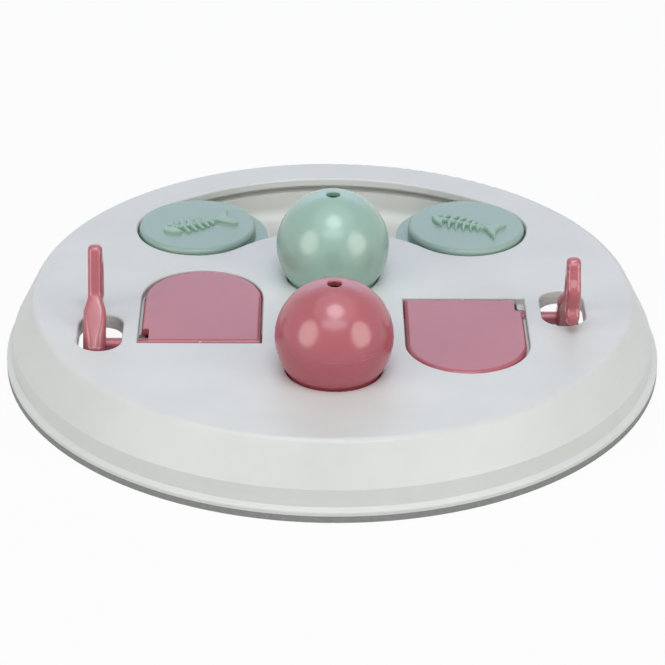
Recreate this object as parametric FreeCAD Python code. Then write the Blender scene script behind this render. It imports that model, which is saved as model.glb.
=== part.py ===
import FreeCAD, Part
import math
import os

# Cat puzzle board: a round cover with trays of treat wells under it, two sliding discs,
# two lift-off domes, and two flaps that are opened by hook levers.
# Millimetres. +Z up, +Y towards the back (the slider side). The origin is the middle of
# the board on the table. Left (-X) and right (+X) flap units are the same part turned
# half a turn about the vertical line through (0, PAIR_Y).

V = FreeCAD.Vector
X_AXIS = V(1, 0, 0)
Z_AXIS = V(0, 0, 1)

# Board and cover shell
LIP_R = 125.0
LIP_Z = 2.6
LIP_EDGE_Z = 4.2
BAND_R = 122.8
BAND_Z = 5.0
BAND_TOP_R = 122.2
BAND_TOP_Z = 11.6
SHOULDER_R = 114.2
TOP_Z = 27.5
SHOULDER_ROUND = 2.2
WALL = 2.5
PLATE = 3.0
UNDER_Z = TOP_Z - PLATE
EDGE_ROUND = 0.8

# Non-slip ring under the lip
RING_IN_R = 119.0
TONGUE_IN_R = 120.4
TONGUE_OUT_R = 122.0
TONGUE_Z = 4.0
RING_PLAY = 0.05

# Trays under the cover: one arc trough, a well for each flap and a pair of bowls
TRAY_TOP_Z = UNDER_Z - 0.1
TRAY_PLATE = 2.7
TRAY_WALL = 2.0
TRAY_Z = TRAY_TOP_Z - TRAY_PLATE
COLLAR = 2.5

# Arc slot, channel and trough for the two sliding discs
SLOT_R = 75.05
SLOT_HALF = 23.9
SLOT_END = 45.3
CHANNEL_HALF = 28.4
LEDGE_Z = 21.5
TROUGH_FLOOR_Z = 10.5
TROUGH_ROUND = 5.0
DISC_R = 23.1
DISC_TOP_Z = TOP_Z + 1.6
DISC_ROUND = 1.0
DISC_SKIN = 2.2
FLANGE_R = 27.8
FLANGE_Z = LEDGE_Z + 0.1
FLANGE_THICK = 2.5

# Domes
PAIR_Y = -24.9
DOME_REACH = 37.1
DOME_R = 21.6
DOME_CENTRE_Z = TOP_Z + 13.0
DOME_WALL = 2.2
DOME_HOLE_R = 2.55
SKIRT_R = 17.2
SEAT_R = 17.7
DOME_RIM_ROUND = 0.6
BOWL_R = 14.2
BOWL_DEPTH = 12.0
BOWL_PLATE_R = 21.0
BOWL_STRIP_HALF = 8.0

# Flap, its opening in the cover and the well below it (left unit)
FLAP_X = -49.6
OPEN_HALF = 23.1
OPEN_FRONT_Y = -43.2
ARCH_Y = -7.0
FLAP_THICK = 2.6
FLAP_ROUND = 1.8
FLAP_GAP = 0.4
FLAP_LEVER_GAP = 1.1
FLAP_TAIL_GAP = 1.0
NOTCH = (-68.6, -32.4)
CORNER_ROUND = 1.2
WELL_INSET = 2.5
WELL_FLOOR_Z = 10.5
WELL_ROUND = 4.0

# Hinge shaft of the left unit, its saddle and its pocket in the tray
HINGE_Y = -35.9
HINGE_Z = 22.6
SHAFT_R = 2.5
PIN_R = 1.75
PIN_END_X = -23.2
RUN = 0.06
POCKET_R = 8.1
POCKET_Y = -31.5
TAB = (-70.0, -38.7)

# Lever and its hole (left unit)
LEVER_X = -88.8
HOLE_X = -86.75
HOLE_HALF = 8.25
HOLE_FRONT_Y = -49.6
HOLE_BACK_Y = -20.8
HUB_HALF = 4.22
HUB_Z = 18.5
HEEL_ARC_R = 4.4
KNEE_ARC_R = 5.0
BAR_HALF = 2.7
HEAD_R = 2.7
TIP_R = 2.8
GAP_R = 1.0
WAIST_TILT = 30.0
WAIST = (19.6, 28.2)
LEVER_ROUND = 1.8
HEEL_ROUND = 4.0
SHAFT_DEPTH = 1.2

# Screws through the trays into bosses under the cover
TROUGH_SCREWS = [(-88.1, 43.5), (-16.3, 34.9), (16.3, 34.9), (88.1, 43.5)]
WELL_SCREWS = [(-84, -13.5), (-54, -51.5), (-31, 15)]
BOWL_SCREWS = [(0, 34), (0, PAIR_Y), (0, 2 * PAIR_Y - 34)]
SCREW_PAD_R = 5.2
BOSS_R = 3.4
BOSS_HOLE_R = 3.7
BOSS_Z = TRAY_Z + 0.1
SCREW_R = 1.5
SCREW_TOP_Z = UNDER_Z + 1.2
HEAD_FLANGE_R = 5.0
SCREW_HEAD_R = 3.0
SCREW_HEAD = 2.4


def cylinder(radius, low, high, x=0.0, y=0.0):
    return Part.makeCylinder(radius, high - low, V(x, y, low), Z_AXIS)


def box(x0, x1, y0, y1, z0, z1):
    return Part.makeBox(x1 - x0, y1 - y0, z1 - z0, V(x0, y0, z0))


def round_corner(before, corner, after, radius):
    """Arc that rounds a corner of a profile, between its two points of tangency."""
    back = (before - corner).normalize()
    on = (after - corner).normalize()
    half = back.getAngle(on) / 2
    start = corner + back * (radius / math.tan(half))
    end = corner + on * (radius / math.tan(half))
    middle = corner + (back + on).normalize() * (radius / math.sin(half) - radius)
    return start, middle, end


def turned_profile(corners, x=0.0, y=0.0):
    """Solid of revolution about a vertical axis from (radius, height) or (radius, height, rounding)."""
    points = [V(corner[0], 0, corner[1]) for corner in corners]
    edges = []
    ends = []
    for i, corner in enumerate(corners):
        start = middle = end = points[i]
        if len(corner) == 3:
            after = points[(i + 1) % len(points)]
            start, middle, end = round_corner(points[i - 1], points[i], after, corner[2])
            edges.append(Part.Arc(start, middle, end).toShape())
        ends.append((start, end))
    for i, (start, _) in enumerate(ends):
        edges.append(Part.makeLine(ends[i - 1][1], start))
    wire = Part.Wire(Part.__sortEdges__(edges))
    solid = Part.Face(wire).revolve(V(0, 0, 0), Z_AXIS, 360)
    solid.translate(V(x, y, 0))
    return solid


def half_turn(shape):
    """The right-hand copy of something made for the left-hand unit."""
    turned = shape.copy()
    turned.rotate(V(0, PAIR_Y, 0), Z_AXIS, 180)
    return turned


def both(shape):
    return shape.fuse(half_turn(shape))


def level_edges(shape, height, reach=2 * LIP_R):
    """Edges lying in the plane z = height that stay within a distance of the Z axis."""
    found = []
    for edge in shape.Edges:
        bounds = edge.BoundBox
        level = abs(bounds.ZMin - height) < 0.01 and abs(bounds.ZMax - height) < 0.01
        if level and max(math.hypot(v.X, v.Y) for v in edge.Vertexes) < reach:
            found.append(edge)
    return found


def slot_centre(side):
    """Centre of a round end of the arc slot; side is -1 for left, 1 for right."""
    lean = math.radians(side * SLOT_END)
    return V(SLOT_R * math.sin(lean), SLOT_R * math.cos(lean), 0)


def arc_slot(half, low, high):
    """Prism along the sliders' arc, round at both ends."""
    def on_arc(radius, lean):
        angle = math.radians(lean)
        return V(radius * math.sin(angle), radius * math.cos(angle), low)

    outer = SLOT_R + half
    inner = SLOT_R - half
    caps = []
    for side in (-1, 1):
        centre = slot_centre(side) + V(0, 0, low)
        tangent = math.radians(side * SLOT_END)
        tip = centre + V(side * half * math.cos(tangent), -side * half * math.sin(tangent), 0)
        caps.append(Part.Arc(on_arc(inner, side * SLOT_END), tip, on_arc(outer, side * SLOT_END)))
    rims = [
        Part.Arc(on_arc(r, -SLOT_END), V(0, r, low), on_arc(r, SLOT_END)) for r in (inner, outer)
    ]
    edges = [curve.toShape() for curve in (caps[0], rims[1], caps[1], rims[0])]
    wire = Part.Wire(Part.__sortEdges__(edges))
    return Part.Face(wire).extrude(V(0, 0, high - low))


def flap_prism(inset, low, high, front_y, lever_inset=None):
    """Flap-shaped prism: straight front, straight sides and a round arch at the back."""
    lever_side = inset if lever_inset is None else lever_inset
    left = FLAP_X - OPEN_HALF + lever_side
    right = FLAP_X + OPEN_HALF - inset
    arch_r = (right - left) / 2
    middle = (right + left) / 2
    crown = ARCH_Y + OPEN_HALF - inset
    shoulder = crown - arch_r
    arch = Part.Arc(V(right, shoulder, low), V(middle, crown, low), V(left, shoulder, low))
    edges = [
        Part.makeLine(V(left, shoulder, low), V(left, front_y, low)),
        Part.makeLine(V(left, front_y, low), V(right, front_y, low)),
        Part.makeLine(V(right, front_y, low), V(right, shoulder, low)),
        arch.toShape(),
    ]
    return Part.Face(Part.Wire(edges)).extrude(V(0, 0, high - low))


def rounded_upright(block, corner):
    """Block whose upright edge at its inner back corner (x, y) is rounded."""
    x = corner[0] - 0.01
    y = corner[1] - 0.01
    edges = [edge for edge in block.Edges if edge.BoundBox.XMin > x and edge.BoundBox.YMin > y]
    return block.makeFillet(CORNER_ROUND, edges)


def lever_hole(low, high, margin=0.0):
    """Oblong prism along Y, round at both ends."""
    front = HOLE_FRONT_Y + HOLE_HALF
    back = HOLE_BACK_Y - HOLE_HALF
    half = HOLE_HALF + margin
    prism = box(HOLE_X - half, HOLE_X + half, front, back, low, high)
    for y in (front, back):
        prism = prism.fuse(cylinder(half, low, high, HOLE_X, y))
    return prism.removeSplitter()


def hinge_cylinder(radius, x0, x1):
    return Part.makeCylinder(radius, x1 - x0, V(x0, HINGE_Y, HINGE_Z), X_AXIS)


def dome_ys():
    return (PAIR_Y + DOME_REACH, PAIR_Y - DOME_REACH)


def all_screws():
    turned = [(-x, 2 * PAIR_Y - y) for x, y in WELL_SCREWS]
    return TROUGH_SCREWS + WELL_SCREWS + turned + BOWL_SCREWS


def cover_shell():
    slope = (BAND_TOP_R - SHOULDER_R) / (TOP_Z - BAND_TOP_Z)
    solid = turned_profile([
        (0, LIP_Z), (LIP_R, LIP_Z), (LIP_R, LIP_EDGE_Z, EDGE_ROUND), (BAND_R, BAND_Z),
        (BAND_TOP_R, BAND_TOP_Z), (SHOULDER_R, TOP_Z, SHOULDER_ROUND), (0, TOP_Z),
    ])
    inner_r = BAND_TOP_R - WALL
    inner_top_r = inner_r - slope * (UNDER_Z - BAND_TOP_Z)
    hollow = turned_profile([
        (0, LIP_Z - 1), (RING_IN_R, LIP_Z - 1), (RING_IN_R, BAND_Z), (inner_r, BAND_Z + 2),
        (inner_r, BAND_TOP_Z), (inner_top_r, UNDER_Z), (0, UNDER_Z),
    ])
    tongue_low = LIP_Z - 1
    tongue_high = TONGUE_Z + RING_PLAY
    groove = cylinder(TONGUE_OUT_R + RING_PLAY, tongue_low, tongue_high)
    groove = groove.cut(cylinder(TONGUE_IN_R - RING_PLAY, tongue_low, tongue_high))
    return solid.cut([hollow, groove])


def make_top_cover():
    cover = cover_shell()
    low = UNDER_Z - 1
    high = TOP_Z + 1
    openings = [
        arc_slot(SLOT_HALF, low, high),
        both(flap_prism(0, low, high, OPEN_FRONT_Y)),
        both(lever_hole(low, high)),
    ]
    openings += [cylinder(SEAT_R, low, high, 0, y) for y in dome_ys()]
    cover = cover.cut(openings)
    cover = cover.makeFillet(EDGE_ROUND, level_edges(cover, TOP_Z, SLOT_R + SLOT_HALF + 1))
    cover = cover.cut(both(hinge_cylinder(SHAFT_R + RUN, FLAP_X - OPEN_HALF - 8, FLAP_X - OPEN_HALF + 1)))
    cover = cover.fuse([cylinder(BOSS_R, BOSS_Z, UNDER_Z + 1, x, y) for x, y in all_screws()])
    return cover.cut([cylinder(SCREW_R, BOSS_Z - 1, SCREW_TOP_Z + 0.5, x, y) for x, y in all_screws()])


def make_anti_slip_ring():
    base_top = LIP_Z - RING_PLAY
    return turned_profile([
        (RING_IN_R, 0), (LIP_R, 0), (LIP_R, base_top), (TONGUE_OUT_R, base_top),
        (TONGUE_OUT_R, TONGUE_Z), (TONGUE_IN_R, TONGUE_Z), (TONGUE_IN_R, base_top),
        (RING_IN_R, base_top),
    ])


def rounded_floor(prism, radius):
    return prism.makeFillet(radius, level_edges(prism, prism.BoundBox.ZMin))


def trough():
    """Outside and hollow of the arc trough with the ledge that the discs' flanges ride on."""
    outside = rounded_floor(
        arc_slot(SLOT_HALF + TRAY_WALL, TROUGH_FLOOR_Z - TRAY_WALL, TRAY_Z + 1), TROUGH_ROUND + TRAY_WALL)
    channel_wall = arc_slot(CHANNEL_HALF + TRAY_WALL, LEDGE_Z - TRAY_WALL, TRAY_TOP_Z)
    hollow = rounded_floor(arc_slot(SLOT_HALF, TROUGH_FLOOR_Z, TRAY_TOP_Z + 1), TROUGH_ROUND)
    channel = arc_slot(CHANNEL_HALF, LEDGE_Z, TRAY_TOP_Z + 1)
    return outside.fuse(channel_wall), hollow.fuse(channel)


def flap_well():
    """Outside and hollow of the left flap's well with the pocket its tail swings into."""
    front = HINGE_Y - POCKET_R
    wall = TRAY_WALL
    outside = rounded_floor(
        flap_prism(WELL_INSET - wall, WELL_FLOOR_Z - wall, TRAY_TOP_Z, front - wall), WELL_ROUND + wall)
    hollow = rounded_floor(flap_prism(WELL_INSET, WELL_FLOOR_Z, TRAY_TOP_Z + 1, front), WELL_ROUND)
    left = FLAP_X - OPEN_HALF + 0.2
    right = FLAP_X + OPEN_HALF - 0.1
    low = HINGE_Z - 2 * POCKET_R
    pocket_wall = hinge_cylinder(POCKET_R + wall, left - wall, right + wall)
    pocket_wall = pocket_wall.common(
        box(left - wall, right + wall, front - wall, POCKET_Y + wall, low, TRAY_TOP_Z))
    pocket = hinge_cylinder(POCKET_R, left, right)
    pocket = pocket.common(box(left, right, front, POCKET_Y, low, HINGE_Z))
    pocket = pocket.fuse(box(left, right, front, POCKET_Y, HINGE_Z, TRAY_TOP_Z + 1))
    return outside.fuse(pocket_wall), hollow.fuse(pocket)


def saddles():
    """Blocks that carry the shaft beside the lever hole and the pin at the inner end."""
    bed_low = HINGE_Z - SHAFT_R - TRAY_WALL
    hole_side = HOLE_X + HOLE_HALF
    left = FLAP_X - OPEN_HALF
    right = FLAP_X + OPEN_HALF
    shaft_block = box(hole_side, left + 0.2, HINGE_Y - 4.6, HINGE_Y + 4.6, bed_low, TRAY_TOP_Z)
    pin_block = box(right - 0.1, PIN_END_X + 1.4, HINGE_Y - 3.6, HINGE_Y + 3.6, bed_low + 0.6, TRAY_TOP_Z)
    tab = box(left, TAB[0], HINGE_Y - POCKET_R - 0.5, TAB[1], HINGE_Z - POCKET_R, UNDER_Z)
    return shaft_block.fuse([pin_block, rounded_upright(tab, TAB)])


def shaft_beds():
    """Round beds for shaft and pin, open upwards so that the flap drops in from above."""
    hole_side = HOLE_X + HOLE_HALF
    right = FLAP_X + OPEN_HALF
    bed_end = FLAP_X - OPEN_HALF + 0.3
    shaft_r = SHAFT_R + RUN
    pin_r = PIN_R + RUN
    beds = hinge_cylinder(shaft_r, hole_side - 1, bed_end)
    pin_bed = hinge_cylinder(pin_r, right - 0.2, PIN_END_X + 0.1)
    throat = box(hole_side - 1, bed_end, HINGE_Y - shaft_r, HINGE_Y + shaft_r, HINGE_Z, TRAY_TOP_Z + 1)
    pin_throat = box(
        right - 0.2, PIN_END_X + 0.1, HINGE_Y - pin_r, HINGE_Y + pin_r, HINGE_Z, TRAY_TOP_Z + 1)
    return beds.fuse([pin_bed, throat, pin_throat])


def dome_bowl(y):
    """Outside and hollow of the round treat bowl under a dome."""
    radius = (BOWL_R ** 2 + BOWL_DEPTH ** 2) / (2 * BOWL_DEPTH)
    centre = V(0, y, TRAY_TOP_Z - BOWL_DEPTH + radius)
    outside = Part.makeSphere(radius + TRAY_WALL, centre)
    outside = outside.common(cylinder(2 * BOWL_R, TRAY_Z - 2 * BOWL_DEPTH, TRAY_TOP_Z, 0, y))
    return outside, Part.makeSphere(radius, centre)


def screwed_tray(plate, outsides, hollows, screws):
    """A tray's plate with screw pads, its walls and hollows, and holes for the cover's bosses."""
    pads = [cylinder(SCREW_PAD_R, TRAY_Z, TRAY_TOP_Z, x, y) for x, y in screws]
    holes = [cylinder(BOSS_HOLE_R, TRAY_Z - 1, TRAY_TOP_Z + 1, x, y) for x, y in screws]
    return plate.fuse(pads + outsides).cut(hollows + holes)


def make_slide_trough():
    outside, hollow = trough()
    plate = arc_slot(CHANNEL_HALF + TRAY_WALL + COLLAR, TRAY_Z, TRAY_TOP_Z)
    return screwed_tray(plate, [outside], [hollow], TROUGH_SCREWS).removeSplitter()


def make_left_well():
    outside, hollow = flap_well()
    front = HINGE_Y - POCKET_R - TRAY_WALL - COLLAR
    plate = flap_prism(-COLLAR, TRAY_Z, TRAY_TOP_Z, front, -2 * COLLAR)
    plate = plate.fuse(lever_hole(TRAY_Z, TRAY_TOP_Z, COLLAR))
    well = screwed_tray(plate, [outside], [hollow], WELL_SCREWS)
    well = well.fuse(saddles()).cut([shaft_beds(), lever_hole(TRAY_Z - 10, TRAY_TOP_Z + 1)])
    return well.removeSplitter()


def make_bowl_pair():
    bowls = [dome_bowl(y) for y in dome_ys()]
    back = BOWL_SCREWS[0][1]
    front = BOWL_SCREWS[-1][1]
    plate = box(-BOWL_STRIP_HALF, BOWL_STRIP_HALF, dome_ys()[1], dome_ys()[0], TRAY_Z, TRAY_TOP_Z)
    plate = plate.fuse([cylinder(BOWL_PLATE_R, TRAY_Z, TRAY_TOP_Z, 0, y) for y in dome_ys()])
    plate = plate.fuse(box(-SCREW_PAD_R, SCREW_PAD_R, front, back, TRAY_Z, TRAY_TOP_Z))
    pair = screwed_tray(plate, [bowl[0] for bowl in bowls], [bowl[1] for bowl in bowls], BOWL_SCREWS)
    return pair.removeSplitter()


def make_cover_screws():
    """Washer-head self-tapping screws, driven up into the cover's bosses."""
    low = TRAY_Z - SCREW_HEAD
    seat = TRAY_Z - 0.02
    shank = SCREW_R - 0.02
    profile = [
        (0, low), (SCREW_HEAD_R, low, 0.8), (SCREW_HEAD_R, TRAY_Z - 0.9), (HEAD_FLANGE_R, TRAY_Z - 0.9),
        (HEAD_FLANGE_R, seat), (shank, seat), (shank, SCREW_TOP_Z), (0, SCREW_TOP_Z),
    ]
    return Part.makeCompound([turned_profile(profile, x, y) for x, y in all_screws()])


def make_slider(side):
    """Disc with a flange that is held under the cover and rides on the trough's ledge."""
    flange = cylinder(FLANGE_R, FLANGE_Z, FLANGE_Z + FLANGE_THICK)
    disc = cylinder(DISC_R, FLANGE_Z, DISC_TOP_Z)
    disc = disc.makeFillet(DISC_ROUND, level_edges(disc, DISC_TOP_Z))
    hollow = cylinder(DISC_R - DISC_SKIN, FLANGE_Z - 1, DISC_TOP_Z - DISC_SKIN)
    slider = flange.fuse(disc).cut(hollow)
    slider.translate(slot_centre(side))
    return slider


def make_dome(y):
    """Hollow ball, open below, with a short skirt that stands in the cover's hole."""
    def on_ball(radius, lean):
        return V(radius * math.sin(lean), 0, DOME_CENTRE_Z + radius * math.cos(lean))

    inner_r = DOME_R - DOME_WALL
    skirt_low = TRAY_TOP_Z + 0.1
    rim_lean = math.asin((DOME_HOLE_R + DOME_RIM_ROUND) / (DOME_R - DOME_RIM_ROUND))
    rim_centre = on_ball(DOME_R - DOME_RIM_ROUND, rim_lean)
    rim_out = on_ball(DOME_R, rim_lean)
    rim_in = rim_centre - X_AXIS * DOME_RIM_ROUND
    rim_top = rim_centre + (rim_out + rim_in - rim_centre * 2).normalize() * DOME_RIM_ROUND
    hole_low = on_ball(inner_r, math.asin(DOME_HOLE_R / inner_r))
    skirt_lean = math.pi - math.asin(SKIRT_R / DOME_R)
    inner_lean = math.pi - math.asin((SKIRT_R - DOME_WALL) / inner_r)
    skirt_out = on_ball(DOME_R, skirt_lean)
    skirt_in = on_ball(inner_r, inner_lean)
    foot_out = V(SKIRT_R, 0, skirt_low)
    foot_in = V(SKIRT_R - DOME_WALL, 0, skirt_low)
    edges = [
        Part.makeLine(foot_in, foot_out),
        Part.makeLine(foot_out, skirt_out),
        Part.Arc(skirt_out, on_ball(DOME_R, 1.2), rim_out).toShape(),
        Part.Arc(rim_out, rim_top, rim_in).toShape(),
        Part.makeLine(rim_in, hole_low),
        Part.Arc(hole_low, on_ball(inner_r, 1.2), skirt_in).toShape(),
        Part.makeLine(skirt_in, foot_in),
    ]
    dome = Part.Face(Part.Wire(edges)).revolve(V(0, 0, 0), Z_AXIS, 360)
    dome.translate(V(0, y, 0))
    return dome


def make_left_flap():
    """Lid plate with a tail behind its shaft and a notch at the lever-side corner."""
    low = TOP_Z - FLAP_THICK
    tail_y = OPEN_FRONT_Y + FLAP_TAIL_GAP
    in_x = FLAP_X + OPEN_HALF - FLAP_GAP
    plate = flap_prism(FLAP_GAP, low, TOP_Z, tail_y, FLAP_LEVER_GAP)
    plate = plate.makeFillet(FLAP_ROUND, level_edges(plate, TOP_Z))
    notch = box(NOTCH[0] - OPEN_HALF, NOTCH[0], tail_y - 1, NOTCH[1], low - 1, TOP_Z + 1)
    plate = plate.cut(rounded_upright(notch, NOTCH))
    shaft = hinge_cylinder(SHAFT_R, LEVER_X - HUB_HALF + SHAFT_DEPTH, in_x)
    pin = hinge_cylinder(PIN_R, in_x - 1, PIN_END_X)
    return plate.fuse([shaft, pin]).removeSplitter()


def touch_point(start, centre, radius):
    """Where the line from start, passing behind a circle in the plane x = 0, touches it."""
    way = centre - start
    length = math.sqrt(way.Length ** 2 - radius ** 2)
    angle = math.atan2(way.z, way.y) + math.acos(length / way.Length)
    return start + V(0, math.cos(angle), math.sin(angle)) * length


def lever_outline():
    """Closed side outline of the hook lever in the plane x = 0, around the shaft's axis."""
    def at(u, z):
        return V(0, HINGE_Y + u, z)

    def smooth(points, leaving):
        curve = Part.BSplineCurve()
        curve.interpolate(Points=points, InitialTangent=leaving, FinalTangent=leaving)
        return curve.toShape()

    up = Z_AXIS
    hub_front = at(4.5, HUB_Z)
    hub_inner = at(4.5, 24.0)
    hub_back = at(-7.5, HUB_Z)
    heel = at(-7.5, 23.9)
    knee = at(8.0, 39.3)
    head = at(15.7, 53.5)
    head_back = touch_point(knee, head, HEAD_R)
    head_front = at(15.7 + HEAD_R, 53.5)
    heel_arc = round_corner(hub_back, heel, knee, HEEL_ARC_R)
    knee_arc = round_corner(heel, knee, head_back, KNEE_ARC_R)
    tip = at(17.5, 32.1)
    tip_front = at(17.5 + TIP_R, 32.1)
    tip_back = at(17.5 - TIP_R, 32.1)
    gap = at(15.4, 46.4)
    gap_bar = at(15.4 + GAP_R, 46.4)
    gap_stem = at(15.4 - GAP_R, 46.4)
    edges = [
        Part.makeLine(hub_front, hub_back),
        Part.makeLine(hub_back, heel_arc[0]),
        Part.Arc(*heel_arc).toShape(),
        Part.makeLine(heel_arc[2], knee_arc[0]),
        Part.Arc(*knee_arc).toShape(),
        Part.makeLine(knee_arc[2], head_back),
        Part.Arc(head_back, head + up * HEAD_R, head_front).toShape(),
        smooth([head_front, at(21.7, 45.2), tip_front], up * -1),
        Part.Arc(tip_front, tip - up * TIP_R, tip_back).toShape(),
        smooth([tip_back, at(15.9, 40.0), gap_bar], up),
        Part.Arc(gap_bar, gap + up * GAP_R, gap_stem).toShape(),
        smooth([gap_stem, at(12.2, 39.0), at(6.0, 29.6), hub_inner], up * -1),
        Part.makeLine(hub_inner, hub_front),
    ]
    return Part.Wire(edges)


def lever_taper():
    """Slab that narrows the lever at its waist, between hub and bar, in two tangent arcs."""
    tilt = math.radians(WAIST_TILT)
    along = V(0, math.cos(tilt), math.sin(tilt))
    across = V(0, -math.sin(tilt), math.cos(tilt))
    root = V(LEVER_X, HINGE_Y, 0)
    reach = 2 * WAIST[1]
    step = HUB_HALF - BAR_HALF
    length = WAIST[1] - WAIST[0]
    bend = (length ** 2 + step ** 2) / (4 * step)
    half_angle = math.atan2(length / 2, bend - step / 2) / 2
    run = bend * math.sin(half_angle)
    sag = bend * (1 - math.cos(half_angle))
    sides = []
    ends = []
    for side in (-1, 1):
        def on(s, half):
            return root + along * s + X_AXIS * (side * half)

        hub_end = on(WAIST[0], HUB_HALF)
        middle = on(WAIST[0] + length / 2, BAR_HALF + step / 2)
        bar_start = on(WAIST[1], BAR_HALF)
        sides += [
            Part.makeLine(on(-reach, HUB_HALF), hub_end),
            Part.Arc(hub_end, on(WAIST[0] + run, HUB_HALF - sag), middle).toShape(),
            Part.Arc(middle, on(WAIST[1] - run, BAR_HALF + sag), bar_start).toShape(),
            Part.makeLine(bar_start, on(reach, BAR_HALF)),
        ]
        ends.append((on(-reach, HUB_HALF), on(reach, BAR_HALF)))
    sides += [Part.makeLine(ends[0][i], ends[1][i]) for i in (0, 1)]
    face = Part.Face(Part.Wire(Part.__sortEdges__(sides)))
    face.translate(across * -reach)
    return face.extrude(across * (2 * reach))


def rounded_lever(lever):
    """Rounds the side edges; down the back of the hub the rounding grows till they almost meet."""
    rounds = []
    for number, edge in enumerate(lever.Edges, 1):
        bounds = edge.BoundBox
        on_side = max(bounds.YLength, bounds.ZLength) > 0.01
        if on_side and bounds.ZMax > HUB_Z + 0.01:
            ends = (edge.Vertexes[0], edge.Vertexes[-1])
            radii = [HEEL_ROUND if end.Y < HINGE_Y - HUB_HALF else LEVER_ROUND for end in ends]
            rounds.append((number, *radii))
    document = FreeCAD.newDocument()
    sharp = document.addObject("Part::Feature", "sharp")
    sharp.Shape = lever
    rounded = document.addObject("Part::Fillet", "rounded")
    rounded.Base = sharp
    rounded.Edges = rounds
    document.recompute()
    return rounded.Shape


def make_left_lever():
    plate = Part.Face(lever_outline())
    plate.translate(V(LEVER_X - 2 * HUB_HALF, 0, 0))
    lever = plate.extrude(V(4 * HUB_HALF, 0, 0)).common(lever_taper()).Solids[0]
    bore = hinge_cylinder(SHAFT_R + 0.02, LEVER_X - HUB_HALF + SHAFT_DEPTH, LEVER_X + 2 * HUB_HALF)
    return rounded_lever(lever).cut(bore)


def build():
    left_flap = make_left_flap()
    left_lever = make_left_lever()
    left_well = make_left_well()
    green_y, rose_y = dome_ys()
    return {
        "top_cover": make_top_cover(),
        "slide_trough": make_slide_trough(),
        "left_well": left_well,
        "right_well": half_turn(left_well),
        "bowl_pair": make_bowl_pair(),
        "anti_slip_ring": make_anti_slip_ring(),
        "cover_screws": make_cover_screws(),
        "left_slider": make_slider(-1),
        "right_slider": make_slider(1),
        "green_dome": make_dome(green_y),
        "rose_dome": make_dome(rose_y),
        "left_flap": left_flap,
        "right_flap": half_turn(left_flap),
        "left_lever": left_lever,
        "right_lever": half_turn(left_lever),
    }


os.makedirs("parts", exist_ok=True)
for node, shape in build().items():
    print(node, "valid", shape.isValid(), "solids", len(shape.Solids), "volume", round(shape.Volume))
    shape.exportStep("parts/" + node + ".step")
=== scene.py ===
import bpy
import bmesh
from math import cos, pi, radians, sin
from mathutils import Matrix, Vector


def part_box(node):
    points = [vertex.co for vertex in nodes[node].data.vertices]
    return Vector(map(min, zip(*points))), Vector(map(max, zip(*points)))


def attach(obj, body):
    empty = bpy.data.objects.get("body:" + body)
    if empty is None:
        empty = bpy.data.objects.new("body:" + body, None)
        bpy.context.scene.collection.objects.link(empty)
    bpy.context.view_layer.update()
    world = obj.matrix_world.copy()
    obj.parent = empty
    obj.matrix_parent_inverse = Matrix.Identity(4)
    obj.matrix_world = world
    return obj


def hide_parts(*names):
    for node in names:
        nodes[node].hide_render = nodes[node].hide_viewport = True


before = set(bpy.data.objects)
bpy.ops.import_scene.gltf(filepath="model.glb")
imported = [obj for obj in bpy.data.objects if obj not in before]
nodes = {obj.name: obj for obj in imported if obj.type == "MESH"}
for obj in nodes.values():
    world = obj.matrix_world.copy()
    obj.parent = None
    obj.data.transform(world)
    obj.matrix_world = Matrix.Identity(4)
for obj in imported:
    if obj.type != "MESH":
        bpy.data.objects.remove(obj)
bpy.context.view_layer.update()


# Non-slip ring: a soft grey rubber band under the rim of the cover, the only thing that
# touches the table. It is pressed into a groove, so just its outer edge shows.
RUBBER_DEEP = (0.20, 0.215, 0.205)
RUBBER_PALE = (0.26, 0.275, 0.262)
RUBBER_GRAIN = 0.0011
RUBBER_PIT = 0.0001
CLOUD_LOW = 0.3
CLOUD_HIGH = 0.7


def put_on(piece, finish):
    """All of the piece in one finish."""
    for place in piece.material_slots:
        place.material = finish


def new_finish(name):
    finish = bpy.data.materials.new(name)
    finish.use_nodes = True
    tree = finish.node_tree
    return finish, tree, tree.nodes["Principled BSDF"]


def noise(tree, grain, detail, roughness):
    """Cloudy pattern in the piece's own space, its blotches about as wide as the grain."""
    here = tree.nodes.new("ShaderNodeTexCoord")
    cloud = tree.nodes.new("ShaderNodeTexNoise")
    cloud.inputs["Scale"].default_value = 1 / grain
    cloud.inputs["Detail"].default_value = detail
    cloud.inputs["Roughness"].default_value = roughness
    tree.links.new(here.outputs["Object"], cloud.inputs["Vector"])
    return cloud.outputs["Fac"]


def spread(tree, value, low, high):
    """The pattern as a measure that wanders from low to high."""
    band = tree.nodes.new("ShaderNodeMapRange")
    band.inputs["From Min"].default_value = CLOUD_LOW
    band.inputs["From Max"].default_value = CLOUD_HIGH
    band.inputs["To Min"].default_value = low
    band.inputs["To Max"].default_value = high
    tree.links.new(value, band.inputs["Value"])
    return band.outputs["Result"]


def tint(tree, value, deep, pale, start=CLOUD_LOW, end=CLOUD_HIGH):
    """The pattern as a colour that wanders from deep to pale."""
    ramp = tree.nodes.new("ShaderNodeValToRGB")
    ramp.color_ramp.elements[0].position = start
    ramp.color_ramp.elements[0].color = (*deep, 1)
    ramp.color_ramp.elements[1].position = end
    ramp.color_ramp.elements[1].color = (*pale, 1)
    tree.links.new(value, ramp.inputs["Fac"])
    return ramp.outputs["Color"]


def pitted(tree, surface, height, depth, strength):
    bump = tree.nodes.new("ShaderNodeBump")
    bump.inputs["Distance"].default_value = depth
    bump.inputs["Strength"].default_value = strength
    tree.links.new(height, bump.inputs["Height"])
    tree.links.new(bump.outputs["Normal"], surface.inputs["Normal"])


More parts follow.
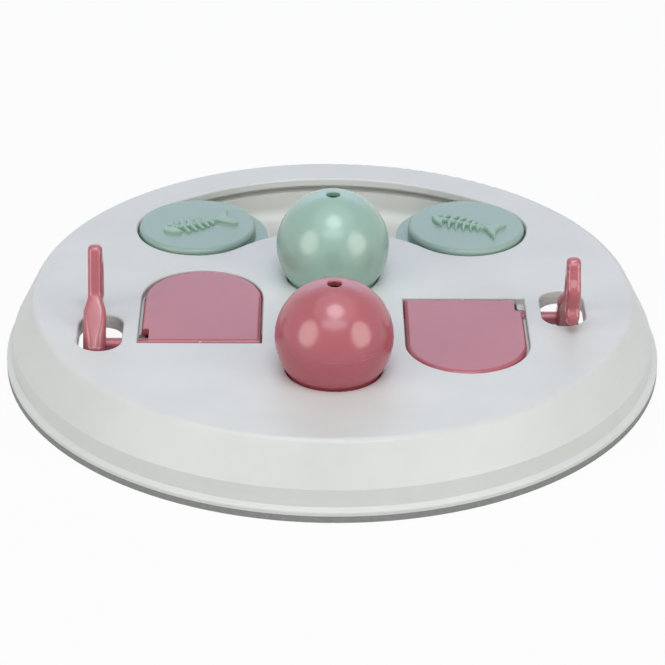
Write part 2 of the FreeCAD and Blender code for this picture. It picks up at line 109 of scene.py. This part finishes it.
def matt_rubber():
    rubber, tree, surface = new_finish("matt_rubber")
    skin = noise(tree, RUBBER_GRAIN, 5, 0.6)
    tree.links.new(tint(tree, skin, RUBBER_DEEP, RUBBER_PALE), surface.inputs["Base Color"])
    tree.links.new(spread(tree, skin, 0.62, 0.78), surface.inputs["Roughness"])
    pitted(tree, surface, skin, RUBBER_PIT, 0.35)
    surface.inputs["Specular IOR Level"].default_value = 0.35
    return rubber


put_on(nodes["anti_slip_ring"], matt_rubber())


# Trays of treat wells: thin mouldings in the same pale plastic as the cover, one arc
# trough, one well for each flap and one pair of round bowls, screwed under the cover.
TRAY_DEEP = (0.62, 0.635, 0.605)
TRAY_PALE = (0.66, 0.675, 0.645)
TRAY_GRAIN = 0.0009
TRAY_ROUGHNESS = 0.42
PALE_FLOW = 0.021
SPARK_DEPTH = 0.00004


def satin_plastic(name, deep, pale, grain, roughness):
    """Pale plastic with a spark-eroded skin, faintly clouded by its flow into the mould."""
    plastic, tree, surface = new_finish(name)
    flow = noise(tree, PALE_FLOW, 4, 0.55)
    spark = noise(tree, grain, 3, 0.6)
    tree.links.new(tint(tree, flow, deep, pale), surface.inputs["Base Color"])
    tree.links.new(spread(tree, spark, roughness - 0.05, roughness + 0.05), surface.inputs["Roughness"])
    pitted(tree, surface, spark, SPARK_DEPTH, 0.3)
    return plastic


TRAY_SATIN = satin_plastic("tray_satin", TRAY_DEEP, TRAY_PALE, TRAY_GRAIN, TRAY_ROUGHNESS)
for tray in ("slide_trough", "left_well", "right_well", "bowl_pair"):
    put_on(nodes[tray], TRAY_SATIN)


# Cover: one large moulding in pale grey plastic with a fine spark-eroded skin, from the
# flat lip over the ring to the top face with its arc-shaped slot, flap and lever openings.
COVER_DEEP = (0.60, 0.62, 0.61)
COVER_PALE = (0.635, 0.655, 0.645)
COVER_GRAIN = 0.0007
COVER_ROUGHNESS = 0.45
COVER_SATIN = satin_plastic("cover_satin", COVER_DEEP, COVER_PALE, COVER_GRAIN, COVER_ROUGHNESS)
put_on(nodes["top_cover"], COVER_SATIN)


# Thirteen washer-head screws with a cross recess, zinc-plated steel, driven from below
# through the trays into the bosses of the cover; head 6 mm, washer flange 10 mm.
ZINC_DEEP = (0.40, 0.40, 0.38)
ZINC_PALE = (0.58, 0.58, 0.57)
ZINC_BLOOM = 0.0012
SCREW_SIDES = 32
HEAD_R = 0.0030
HEAD_ROUND = 0.0008
HEAD_HIGH = 0.0015
WASHER_R = 0.0050
WASHER_BEVEL = 0.0002
WASHER_TOP = 0.00238
SHANK_R = 0.00148
RECESS_ARM = ((0.00046, -0.00046), (0.00165, -0.00038), (0.00165, 0.00038))
RECESS_TAPER = 0.6
RECESS_DEPTH = 0.0014
MIDDLE_Y = -0.0249
TROUGH_SCREWS = [(-0.0881, 0.0435), (-0.0163, 0.0349)]
LEFT_WELL_SCREWS = [(-0.084, -0.0135), (-0.054, -0.0515), (-0.031, 0.015)]
BOWL_SCREW_STEP = 0.0589
TURN_STEP = 0.7


def zinc_steel():
    zinc, tree, surface = new_finish("zinc_steel")
    surface.inputs["Metallic"].default_value = 1.0
    bloom = noise(tree, ZINC_BLOOM, 5, 0.6)
    tree.links.new(tint(tree, bloom, ZINC_DEEP, ZINC_PALE), surface.inputs["Base Color"])
    tree.links.new(spread(tree, bloom, 0.28, 0.5), surface.inputs["Roughness"])
    return zinc


def circle(form, x, y, z, radius, sides):
    corners = []
    for k in range(sides):
        lean = 2 * pi * k / sides
        corners.append(form.verts.new((x + radius * cos(lean), y + radius * sin(lean), z)))
    return corners


def outline(form, corners):
    """Edges from each corner to the next and back to the first."""
    return [form.edges.new((corners[k - 1], corners[k])) for k in range(len(corners))]


def wall(form, rings):
    """Faces between each ring of corners and the next."""
    for near, far in zip(rings, rings[1:]):
        for k in range(len(near)):
            form.faces.new((near[k - 1], near[k], far[k], far[k - 1]))


def mesh_of(name, form):
    """The finished form as a mesh, smooth all over."""
    bmesh.ops.recalc_face_normals(form, faces=form.faces)
    mesh = bpy.data.meshes.new(name)
    form.to_mesh(mesh)
    form.free()
    mesh.shade_smooth()
    return mesh


def add_to_scene(name, data):
    """A piece, lamp or camera from its own data."""
    piece = bpy.data.objects.new(name, data)
    bpy.context.scene.collection.objects.link(piece)
    return piece


def cross(form, x, y, z, turn, scale):
    """Corners of a cross with four short arms."""
    corners = []
    for arm in range(4):
        lean = arm * pi / 2 + turn
        for out, side in RECESS_ARM:
            along = x + scale * (out * cos(lean) - side * sin(lean))
            across = y + scale * (out * sin(lean) + side * cos(lean))
            corners.append(form.verts.new((along, across, z)))
    return corners


def screw_profile(length):
    """Radius and height from the rounded head to the washer flange and the plain shank."""
    profile = []
    for step in range(5):
        lean = step * pi / 8
        profile.append((HEAD_R - HEAD_ROUND * (1 - sin(lean)), HEAD_ROUND * (1 - cos(lean))))
    profile += [(HEAD_R, HEAD_HIGH), (WASHER_R - WASHER_BEVEL, HEAD_HIGH)]
    profile += [(WASHER_R, HEAD_HIGH + WASHER_BEVEL), (WASHER_R, WASHER_TOP)]
    profile += [(SHANK_R, WASHER_TOP), (SHANK_R, length)]
    return profile


def cross_screw(metal, x, y, turn):
    """One screw, its head down."""
    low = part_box("cover_screws")[0][2]
    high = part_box("cover_screws")[1][2]
    rings = []
    for radius, rise in screw_profile(high - low):
        rings.append(circle(metal, x, y, low + rise, radius, SCREW_SIDES))
    mouth = cross(metal, x, y, low, turn, 1)
    floor = cross(metal, x, y, low + RECESS_DEPTH, turn, RECESS_TAPER)
    rims = outline(metal, rings[0]) + outline(metal, mouth)
    bmesh.ops.triangle_fill(metal, use_beauty=True, edges=rims)
    wall(metal, rings)
    metal.faces.new(rings[-1])
    wall(metal, (mouth, floor))
    metal.faces.new(floor)


metal = bmesh.new()
places = TROUGH_SCREWS + [(-x, y) for x, y in reversed(TROUGH_SCREWS)]
places += LEFT_WELL_SCREWS + [(-x, 2 * MIDDLE_Y - y) for x, y in LEFT_WELL_SCREWS]
places += [(0, MIDDLE_Y + step) for step in (BOWL_SCREW_STEP, 0, -BOWL_SCREW_STEP)]
for number, (x, y) in enumerate(places):
    cross_screw(metal, x, y, TURN_STEP * number)
screws = add_to_scene("washer_head_screws", mesh_of("washer_head_screws", metal))
screws.data.set_sharp_from_angle(angle=radians(35))
screws.data.materials.append(zinc_steel())
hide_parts("cover_screws")
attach(screws, "board")


# Two sliding discs moulded in sage green plastic, each with a flange that runs in the
# trough's channel and a fishbone raised on its top, about 29 mm long and 1.7 mm high.
SAGE_TOP_DEEP = (0.258, 0.374, 0.328)
SAGE_TOP_PALE = (0.278, 0.394, 0.348)
# Fishbone green: the disc's own sage plastic painted paler, a painted highlight on the raised relief.
SAGE_BONE_HIGHLIT_DEEP = (0.298, 0.448, 0.376)
SAGE_BONE_HIGHLIT_PALE = (0.318, 0.468, 0.396)
BRIGHT_FLOW = 0.014
FLECK_GRAIN = 0.0006
FLECK = 0.03
FLECK_DARK = (0.30, 0.30, 0.30)
FLECK_LIGHT = (0.70, 0.70, 0.70)
DISC_X = 0.05335
DISC_Y = 0.05279
DISC_R = 0.0231
DISC_TOP = 0.0291
SHARP_ROUND = 0.0010
SOFT_ROUND = 0.0017
LEFT_BONE = (-0.0531, 0.0520)
RIGHT_BONE = (0.0534, 0.0520)
BONE_SCALE = 0.97
BONE_FOOT = DISC_TOP - 0.0006
BONE_VOXEL = 0.00014
BONE_HEAD = [(-0.0150, 0.0), (-0.0149, 0.0006), (-0.0141, 0.0018), (-0.0129, 0.0031)]
BONE_HEAD += [(-0.0113, 0.0042), (-0.0098, 0.0048), (-0.0091, 0.0049), (-0.0088, 0.0045)]
BONE_HEAD += [(-0.0092, 0.0033), (-0.0097, 0.0019), (-0.0099, 0.0)]
EYE_X = -0.0119
EYE_Y = 0.0013
EYE_R = 0.0008
BONE_TAIL = [(0.0070, 0.0), (0.0082, 0.0008), (0.0095, 0.0018), (0.0113, 0.0037)]
BONE_TAIL += [(0.0135, 0.0057), (0.0148, 0.0064), (0.0153, 0.0060), (0.0145, 0.0043)]
BONE_TAIL += [(0.0138, 0.0024), (0.0134, 0.0008), (0.0133, 0.0)]
PLATE_EDGE = 0.0009
PLATE_ROUND = ((0.00028, 0.0005), (0.00034, 0.0003))
SPINE = [(x / 1000, 0) for x in range(-11, 10)]
SPINE_HALF = 0.0010
SPINE_RISE = 0.0017
RIBS = [(-0.0067, -0.0056, 0.0058), (-0.0036, -0.0024, 0.0056), (-0.0005, 0.0007, 0.0049)]
RIBS += [(0.0025, 0.0034, 0.0039), (0.0053, 0.0061, 0.0028)]
BACK_STEPS = 8


def gloss_plastic(name, deep, pale, fleck, roughness, shine):
    """Coloured plastic with a smooth skin, a fine fleck and a little light inside it."""
    plastic, tree, surface = new_finish(name)
    flow = noise(tree, BRIGHT_FLOW, 4, 0.55)
    grain = noise(tree, FLECK_GRAIN, 2, 0.6)
    flecked = tree.nodes.new("ShaderNodeMix")
    flecked.data_type = "RGBA"
    flecked.blend_type = "SOFT_LIGHT"
    flecked.inputs[0].default_value = fleck
    tree.links.new(tint(tree, flow, deep, pale), flecked.inputs[6])
    tree.links.new(tint(tree, grain, FLECK_DARK, FLECK_LIGHT, 0.35, 0.65), flecked.inputs[7])
    tree.links.new(flecked.outputs[2], surface.inputs["Base Color"])
    tree.links.new(spread(tree, flow, roughness - 0.03, roughness + 0.03), surface.inputs["Roughness"])
    pitted(tree, surface, grain, 0.00001, 0.04)
    surface.inputs["Specular IOR Level"].default_value = shine
    surface.inputs["Subsurface Weight"].default_value = 0.25
    surface.inputs["Subsurface Radius"].default_value = (1.0, 1.0, 1.0)
    surface.inputs["Subsurface Scale"].default_value = 0.0012
    return plastic


def soft_disc(name, node, body, finish, middle):
    """The disc with the rounding of its top edge widened from 1 mm to 1.7 mm."""
    mesh = nodes[node].data.copy()
    edge = SHARP_ROUND + 0.00001
    growth = SOFT_ROUND / SHARP_ROUND
    for corner in mesh.vertices:
        spoke = corner.co.xy - middle
        out = spoke.length
        if out < DISC_R - edge or corner.co.z < DISC_TOP - edge:
            continue
        reach = DISC_R - SOFT_ROUND + growth * (out - DISC_R + SHARP_ROUND)
        corner.co.xy = middle + spoke * reach / out
        corner.co.z = DISC_TOP - SOFT_ROUND + growth * (corner.co.z - DISC_TOP + SHARP_ROUND)
    disc = add_to_scene(name, mesh)
    put_on(disc, finish)
    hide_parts(node)
    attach(disc, body)


def mirrored(upper):
    """Outline that is the same on both sides of the fish's middle line."""
    return upper + [(x, -y) for x, y in upper[-2:0:-1]]


def raise_plate(relief, loops):
    """Head or tail: a plate with a wide soft edge, as high as the bones."""
    edges = []
    for loop in loops:
        edges += outline(relief, [relief.verts.new((x, y, BONE_FOOT)) for x, y in loop])
    flat = bmesh.ops.triangle_fill(relief, use_beauty=True, edges=edges)
    faces = [part for part in flat["geom"] if isinstance(part, bmesh.types.BMFace)]
    raised = bmesh.ops.extrude_face_region(relief, geom=faces, use_keep_orig=True)
    tops = [part for part in raised["geom"] if isinstance(part, bmesh.types.BMVert)]
    faces = [part for part in raised["geom"] if isinstance(part, bmesh.types.BMFace)]
    bmesh.ops.translate(relief, verts=tops, vec=(0, 0, DISC_TOP + PLATE_EDGE - BONE_FOOT))
    bmesh.ops.recalc_face_normals(relief, faces=relief.faces)
    for inset, rise in PLATE_ROUND:
        bmesh.ops.inset_region(relief, faces=faces, thickness=inset, use_even_offset=True)
        rim = {corner for face in faces for corner in face.verts}
        bmesh.ops.translate(relief, verts=list(rim), vec=(0, 0, rise))


def closed_bar(form, rings):
    """Wall through the rings with a face at each end."""
    wall(form, rings)
    form.faces.new(rings[0])
    form.faces.new(rings[-1][::-1])


def raise_bar(relief, path, halves, rises):
    """Spine or rib: a bar with a half-round back along a path."""
    rings = []
    for k, (x, y) in enumerate(path):
        before = Vector(path[max(k - 1, 0)])
        after = Vector(path[min(k + 1, len(path) - 1)])
        along = (after - before).normalized()
        ring = []
        for step in range(-1, BACK_STEPS + 2):
            lean = pi * min(max(step, 0), BACK_STEPS) / BACK_STEPS
            out = cos(lean) * halves[k]
            foot = step in (-1, BACK_STEPS + 1)
            height = BONE_FOOT if foot else DISC_TOP + sin(lean) * rises[k]
            ring.append(relief.verts.new((x - along.y * out, y + along.x * out, height)))
        rings.append(ring)
    closed_bar(relief, rings)


def raise_rib(relief, root, tip, reach):
    """Rib pair across the spine, thinner and lower at both tips and swept to the tail."""
    path = []
    halves = []
    rises = []
    for step in range(-8, 9):
        share = (step / 8) ** 2
        path.append((root + (tip - root) * share, reach * step / 8))
        halves.append(0.00095 - 0.00050 * share)
        rises.append(0.0019 - 0.0008 * share)
    raise_bar(relief, path, halves, rises)


def fuse_skin(piece, voxel):
    fuse = piece.modifiers.new("fuse", "REMESH")
    fuse.mode = "VOXEL"
    fuse.voxel_size = voxel


def rub_down(piece, times, group=""):
    rub = piece.modifiers.new("rub", "SMOOTH")
    rub.factor = 0.5
    rub.iterations = times
    rub.vertex_group = group


def thin_out(piece, share):
    thin = piece.modifiers.new("thin", "DECIMATE")
    thin.ratio = share


def as_shaped(piece):
    """The piece's mesh with its modifiers worked in."""
    bpy.context.view_layer.update()
    depsgraph = bpy.context.evaluated_depsgraph_get()
    return bpy.data.meshes.new_from_object(piece.evaluated_get(depsgraph))


def fishbone(name, at, turn, body, finish):
    eye = []
    for k in range(16):
        lean = 2 * pi * k / 16
        eye.append((EYE_X + EYE_R * cos(lean), EYE_Y + EYE_R * sin(lean)))
    relief = bmesh.new()
    raise_plate(relief, (mirrored(BONE_HEAD), eye))
    raise_plate(relief, (mirrored(BONE_TAIL),))
    raise_bar(relief, SPINE, [SPINE_HALF] * len(SPINE), [SPINE_RISE] * len(SPINE))
    for root, tip, reach in RIBS:
        raise_rib(relief, root, tip, reach)
    blank = add_to_scene(name + "_blank", mesh_of(name + "_blank", relief))
    fuse_skin(blank, BONE_VOXEL)
    rub_down(blank, 5)
    thin_out(blank, 0.3)
    mesh = as_shaped(blank)
    bpy.data.objects.remove(blank)
    mesh.transform(
        Matrix.Translation((*at, 0))
        @ Matrix.Rotation(radians(turn), 4, "Z")
        @ Matrix.Diagonal((BONE_SCALE, BONE_SCALE, 1, 1))
    )
    mesh.shade_smooth()
    mesh.materials.append(finish)
    bone = add_to_scene(name, mesh)
    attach(bone, body)


SAGE_TOP = gloss_plastic("sage_satin", SAGE_TOP_DEEP, SAGE_TOP_PALE, FLECK, 0.34, 0.5)
soft_disc("left_disc_body", "left_slider", "left_disc", SAGE_TOP, Vector((-DISC_X, DISC_Y)))
soft_disc("right_disc_body", "right_slider", "right_disc", SAGE_TOP, Vector((DISC_X, DISC_Y)))
# Fishbone finish: the disc's sage plastic with a rougher skin, and a paler green that is painted
# highlight.
SAGE_MATT_HIGHLIT = gloss_plastic("sage_matt_painted_highlight", SAGE_BONE_HIGHLIT_DEEP, SAGE_BONE_HIGHLIT_PALE, FLECK, 0.46, 0.5)
fishbone("left_fishbone", LEFT_BONE, 23.4, "left_disc", SAGE_MATT_HIGHLIT)
fishbone("right_fishbone", RIGHT_BONE, -24.5, "right_disc", SAGE_MATT_HIGHLIT)


# Two hollow domes, moulded in sage and in rose plastic, that lift off their seats, each
# with a scent hole in its crown. On the rose one the two halves of the mould left a fine
# ridge at the widest place, 0.3 mm wide and 0.05 mm high.
SAGE_DOME_DEEP = (0.268, 0.434, 0.370)
SAGE_DOME_PALE = (0.288, 0.456, 0.391)
ROSE_DOME_DEEP = (0.380, 0.076, 0.101)
ROSE_DOME_PALE = (0.408, 0.086, 0.114)
DOME_R = 0.0216
DOME_REACH = 0.0371
RIDGE_Z = 0.0407
RIDGE_SIDES = 240
RIDGE = ((-0.00015, 0), (-0.00001, -0.00015), (0.00005, 0), (-0.00001, 0.00015))

SAGE = gloss_plastic("sage_gloss", SAGE_DOME_DEEP, SAGE_DOME_PALE, FLECK, 0.21, 0.8)
put_on(nodes["green_dome"], SAGE)
ROSE = gloss_plastic("rose_gloss", ROSE_DOME_DEEP, ROSE_DOME_PALE, FLECK, 0.20, 0.8)
put_on(nodes["rose_dome"], ROSE)

line = bmesh.new()
rings = []
for out, rise in RIDGE:
    rings.append(circle(line, 0, MIDDLE_Y - DOME_REACH, RIDGE_Z + rise, DOME_R + out, RIDGE_SIDES))
wall(line, rings + rings[:1])
ridge = add_to_scene("rose_dome_parting_line", mesh_of("rose_dome_parting_line", line))
ridge.data.materials.append(ROSE)
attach(ridge, "rose_lid")


# Two flaps with their shafts moulded on, in the rose plastic. Each keeps the small stub
# of its moulding gate, 1.3 mm wide and a paler pink than the flap, in the middle of
# its straight edge.
ROSE_FLAP_DEEP = (0.388, 0.090, 0.117)
ROSE_FLAP_PALE = (0.416, 0.101, 0.131)
STUB_PINK_DEEP = (0.60, 0.34, 0.36)
STUB_PINK_PALE = (0.68, 0.42, 0.44)
STUB_X = 0.0493
LEFT_STUB_Y = -0.0422
STUB_Z = 0.0270
STUB_SIDES = 10
STUB_RAGGED = 0.00006
STUB_RINGS = [(-0.0004, 0.00070, 0.00038), (0.0001, 0.00064, 0.00034)]
STUB_RINGS += [(0.00032, 0.00050, 0.00022), (0.00036, 0.00022, 0.00010)]


def gate_stub(name, body, finish, x, y, outward):
    """Ragged rings, each with its way out from the edge, half width and half height."""
    stub = bmesh.new()
    rings = []
    for k, (reach, half, tall) in enumerate(STUB_RINGS):
        ring = []
        for step in range(STUB_SIDES):
            lean = 2 * pi * step / STUB_SIDES
            ragged = STUB_RAGGED * sin(5 * lean + k)
            along = x + cos(lean) * (half + ragged)
            height = STUB_Z + sin(lean) * (tall + ragged)
            ring.append(stub.verts.new((along, y + outward * reach, height)))
        rings.append(ring)
    closed_bar(stub, rings)
    piece = add_to_scene(name, mesh_of(name, stub))
    piece.data.materials.append(finish)
    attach(piece, body)


ROSE_TOP = gloss_plastic("rose_satin", ROSE_FLAP_DEEP, ROSE_FLAP_PALE, FLECK, 0.20, 0.5)
put_on(nodes["left_flap"], ROSE_TOP)
put_on(nodes["right_flap"], ROSE_TOP)
# The gate stubs' finish: a pale pink, much paler than the flaps.
PALE_STUB_ROSE = gloss_plastic("pale_stub_rose", STUB_PINK_DEEP, STUB_PINK_PALE, 0.1, 0.5, 0.5)
gate_stub("left_flap_gate_stub", "left_flap_unit", PALE_STUB_ROSE, -STUB_X, LEFT_STUB_Y, -1)
gate_stub("right_flap_gate_stub", "right_flap_unit", PALE_STUB_ROSE, STUB_X, 2 * MIDDLE_Y - LEFT_STUB_Y, 1)


# Two hook levers in polished rose plastic, 8.4 mm wide at the hub and 5.4 mm along the
# hook, pressed on the ends of the shafts. The hook swells a little to its ball-shaped tip
# and is rounded all over.
ROSE_LEVER_DEEP = (0.404, 0.092, 0.117)
ROSE_LEVER_PALE = (0.432, 0.102, 0.130)
LEVER_X = 0.0888
LEFT_HINGE_Y = -0.0359
HINGE_Z = 0.0226
LEVER_VOXEL = 0.00025
BALL_AHEAD = 0.0197
BALL_Z = 0.0340
BALL_RADII = Vector((0.0028, 0.0038, 0.0038))

# Share of the rubbing down, by the way from the hinge: none on the hub, all on the hook.
RUBBED = ((0.012, 0), (0.018, 1))
# Where the hook's free side begins, ahead of the hinge: by height up to the bend, and
# gradually over the bend.
FREE_SIDE = ((0.032, 0.0115), (0.040, 0.0142), (0.0464, 0.0154))
BEND_Z = 0.0464
BEND = ((0.0140, 0), (0.0180, 1))
# How far the free side leans ahead, and how far its tip swells and rises, by height.
LEAN = [(0.0340, 0.0007), (0.0383, 0.0005), (0.0410, 0.0008), (0.0432, 0.0012)]
LEAN += [(0.0470, 0.0018), (0.0505, 0.0012), (0.0535, 0.0005), (0.0552, 0)]
SWELL = ((0.0340, 0.0023), (0.0383, 0))
SWELL_START = 0.0170
SWELL_OVER = 0.0030
RISE = ((0.032, 0.0005), (0.045, 0))


def between(points, at):
    """A soft line through the points, level before the first and after the last."""
    for (low, before), (high, after) in zip(points, points[1:]):
        if at <= high:
            share = max(0.0, (at - low) / (high - low))
            return before + (after - before) * share * share * (3 - 2 * share)
    return points[-1][1]


def free_share(out, up):
    """1 on the hook's free side and 0 on the lever's upright, with a change over the bend."""
    if up > BEND_Z:
        return between(BEND, out)
    return 1.0 if out > between(FREE_SIDE, up) else 0.0


def bend_hook(corner, hinge_y, ahead, ball):
    """Lean, swell and round the hook's free side."""
    out = ahead * (corner.co.y - hinge_y)
    up = corner.co.z
    share = free_share(out, up)
    if share == 0:
        return
    front = max(0.0, min(1.0, (out - SWELL_START) / SWELL_OVER))
    corner.co.y += ahead * share * (between(LEAN, up) + between(SWELL, up) * front)
    corner.co.z += between(RISE, up)
    if corner.co.z < ball.z:
        reach = corner.co - ball
        beyond = max(1.0, Vector(r / radius for r, radius in zip(reach, BALL_RADII)).length)
        corner.co = ball + reach / beyond


def hook_lever(name, node, body, finish, x, hinge_y, ahead):
    blank = add_to_scene(name + "_blank", nodes[node].data.copy())
    fuse_skin(blank, LEVER_VOXEL)
    lever = add_to_scene(name, as_shaped(blank))
    bpy.data.objects.remove(blank)
    rubbed = lever.vertex_groups.new(name="rubbed")
    ball = Vector((x, hinge_y + ahead * BALL_AHEAD, BALL_Z))
    for corner in lever.data.vertices:
        far = ((corner.co.y - hinge_y) ** 2 + (corner.co.z - HINGE_Z) ** 2) ** 0.5
        rubbed.add([corner.index], between(RUBBED, far), "REPLACE")
        bend_hook(corner, hinge_y, ahead, ball)
    rub_down(lever, 40, "rubbed")
    thin_out(lever, 0.35)
    lever.data = as_shaped(lever)
    lever.modifiers.clear()
    lever.data.shade_smooth()
    lever.data.materials.clear()
    lever.data.materials.append(finish)
    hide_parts(node)
    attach(lever, body)


RIGHT_HINGE_Y = 2 * MIDDLE_Y - LEFT_HINGE_Y
POLISHED = gloss_plastic("rose_polished", ROSE_LEVER_DEEP, ROSE_LEVER_PALE, FLECK, 0.15, 0.75)
hook_lever("left_hook_lever", "left_lever", "left_flap_unit", POLISHED, -LEVER_X, LEFT_HINGE_Y, 1)
hook_lever("right_hook_lever", "right_lever", "right_flap_unit", POLISHED, LEVER_X, RIGHT_HINGE_Y, -1)


# The board stands on a white table in a pale room, between two soft lamps at its sides,
# under a lamp and a wide ceiling, with one lamp in front and a cool wall of light behind.
TABLE_R = 2.5
TABLE_GREY = (0.66, 0.66, 0.66, 1)
TABLE_WHITE = 0.94
ROOM_GLOW = (1.0, 0.9, 0.8, 1)
ROOM_WHITE = (1, 1, 1, 1)
WARM = (1.0, 0.96, 0.88)
NEUTRAL = (0.97, 0.96, 1.0)
COOL = (0.75, 0.9, 1.0)
BLUE = (0.52, 0.66, 1.0)
LAMP_AIM = Vector((0, 0, 0.03))
CAMERA_PLACE = (-0.01116, -1.0190, 0.55465)
CAMERA_HEADING = -0.63
CAMERA_DIP = 28.18
CAMERA_ROLL = 0.47


def looked_at(tree):
    """1 for what the eye sees directly, in a glossy surface or through a clear one."""
    path = tree.nodes.new("ShaderNodeLightPath")
    seen = path.outputs["Is Camera Ray"]
    for way in ("Is Glossy Ray", "Is Transmission Ray"):
        either = tree.nodes.new("ShaderNodeMath")
        either.operation = "MAXIMUM"
        tree.links.new(seen, either.inputs[0])
        tree.links.new(path.outputs[way], either.inputs[1])
        seen = either.outputs[0]
    return seen


def blended(tree, share, plain, white, out):
    """The plain surface, and white for that share of what is looked at."""
    mix = tree.nodes.new("ShaderNodeMixShader")
    tree.links.new(share, mix.inputs[0])
    tree.links.new(plain.outputs[0], mix.inputs[1])
    tree.links.new(white.outputs[0], mix.inputs[2])
    tree.links.new(mix.outputs[0], out.inputs["Surface"])


def table_white():
    paint = bpy.data.materials.new("table_white")
    paint.use_nodes = True
    tree = paint.node_tree
    tree.nodes.clear()
    out = tree.nodes.new("ShaderNodeOutputMaterial")
    plain = tree.nodes.new("ShaderNodeBsdfDiffuse")
    plain.inputs["Color"].default_value = TABLE_GREY
    white = tree.nodes.new("ShaderNodeEmission")
    part = tree.nodes.new("ShaderNodeMath")
    part.operation = "MULTIPLY"
    part.inputs[1].default_value = TABLE_WHITE
    tree.links.new(looked_at(tree), part.inputs[0])
    blended(tree, part.outputs[0], plain, white, out)
    return paint


top = bmesh.new()
bmesh.ops.create_circle(top, cap_ends=True, radius=TABLE_R, segments=96)
mesh = bpy.data.meshes.new("table")
top.to_mesh(mesh)
top.free()
mesh.materials.append(table_white())
table = add_to_scene("table", mesh)

room = bpy.data.worlds.new("pale_room")
bpy.context.scene.world = room
room.use_nodes = True
tree = room.node_tree
tree.nodes.clear()
out = tree.nodes.new("ShaderNodeOutputWorld")
glow = tree.nodes.new("ShaderNodeBackground")
glow.inputs["Color"].default_value = ROOM_GLOW
glow.inputs["Strength"].default_value = 0.1
white = tree.nodes.new("ShaderNodeBackground")
white.inputs["Color"].default_value = ROOM_WHITE
white.inputs["Strength"].default_value = 1.0
blended(tree, looked_at(tree), glow, white, out)


def soft_lamp(name, towards, distance, width, height, watts, colour):
    light = bpy.data.lights.new(name, "AREA")
    light.shape = "ELLIPSE"
    light.size = width
    light.size_y = height
    light.energy = watts
    light.color = colour
    lamp = add_to_scene(name, light)
    direction = Vector(towards).normalized()
    lamp.location = LAMP_AIM + direction * distance
    lamp.rotation_euler = direction.to_track_quat("Z", "Y").to_euler()
    lamp.visible_camera = False


soft_lamp("left_lamp", (-0.77, -0.545, 0.343), 1.2, 0.82, 1.0, 5.9, WARM)
soft_lamp("right_lamp", (0.77, -0.546, 0.317), 1.2, 0.84, 1.0, 6.3, WARM)
soft_lamp("top_lamp", (0.026, -0.272, 0.96), 1.3, 0.66, 0.66, 4.5, NEUTRAL)
soft_lamp("ceiling_lamp", (0.026, -0.15, 0.98), 1.6, 2.4, 2.4, 9.0, NEUTRAL)
soft_lamp("front_lamp", (0.0, -0.66, 0.75), 1.5, 1.3, 0.6, 3.8, COOL)
soft_lamp("back_lamp", (0.0, 0.88, 0.47), 1.4, 1.5, 0.6, 1.9, BLUE)
soft_lamp("back_wall_lamp", (0.0, 0.88, 0.47), 1.45, 2.3, 1.5, 3.1, BLUE)

lens = bpy.data.cameras.new("front_camera")
lens.sensor_width = 36
lens.lens = 162.4
camera = add_to_scene("front_camera", lens)
camera.matrix_world = (
    Matrix.Translation(CAMERA_PLACE)
    @ Matrix.Rotation(radians(CAMERA_HEADING), 4, "Z")
    @ Matrix.Rotation(radians(90 - CAMERA_DIP), 4, "X")
    @ Matrix.Rotation(radians(CAMERA_ROLL), 4, "Z")
)
bpy.context.scene.camera = camera
bpy.context.scene.view_settings.view_transform = "Standard"
